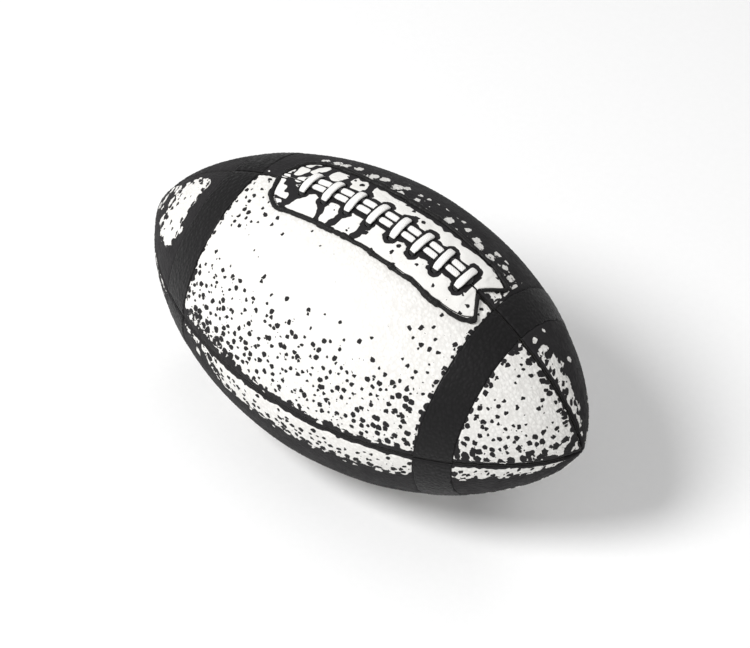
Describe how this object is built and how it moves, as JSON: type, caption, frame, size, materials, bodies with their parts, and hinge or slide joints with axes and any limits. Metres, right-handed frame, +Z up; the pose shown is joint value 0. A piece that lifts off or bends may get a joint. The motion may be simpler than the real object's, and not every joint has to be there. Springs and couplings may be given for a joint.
{
  "type": "laced football",
  "caption": "Inflated ball with pointed ends, sewn from lined leather panels over a bladder, laced along the top seam and striped near both ends; made to be held, thrown and kicked.",
  "frame": {"origin": "centre of the ball, where its long axis crosses its largest round section", "axes": "+X along the ball towards its right tip, +Z up through the lace seam, -Y towards the front"},
  "size_m": [0.2794, 0.1568, 0.1609],
  "materials": {
    "leather": "pebbled, off-white with dark specks",
    "lining": "woven cotton",
    "stripe": "black, satin",
    "patch": "smoother off-white leather with a dark cut edge",
    "thread": "waxed black thread",
    "welt": "thin black leather cord",
    "lace": "white woven lace, coated for grip",
    "guard": "plain split leather",
    "bladder": "matt black",
    "valve": "moulded black"
  },
  "bodies": {
    "root": {"upper_front_panel": "leather", "lower_front_panel": "leather", "upper_back_panel": "leather", "lower_back_panel": "leather", "upper_front_lining": "lining", "lower_front_lining": "lining", "upper_back_lining": "lining", "lower_back_lining": "lining", "left_stripe_upper_front": "stripe", "left_stripe_lower_front": "stripe", "left_stripe_upper_back": "stripe", "left_stripe_lower_back": "stripe", "right_stripe_upper_front": "stripe", "right_stripe_lower_front": "stripe", "right_stripe_upper_back": "stripe", "right_stripe_lower_back": "stripe", "lacing_patch_front": "patch", "lacing_patch_back": "patch", "patch_welt_front": "welt", "patch_welt_back": "welt", "lace": "lace", "lace_guard": "guard", "bladder": "bladder", "valve_body": "valve", "valve_plug": "valve", "back_seam_thread": "thread", "top_seam_thread_left": "thread", "top_seam_thread_right": "thread", "front_seam_thread": "thread", "bottom_seam_thread": "thread"}
  },
  "joints": []
}
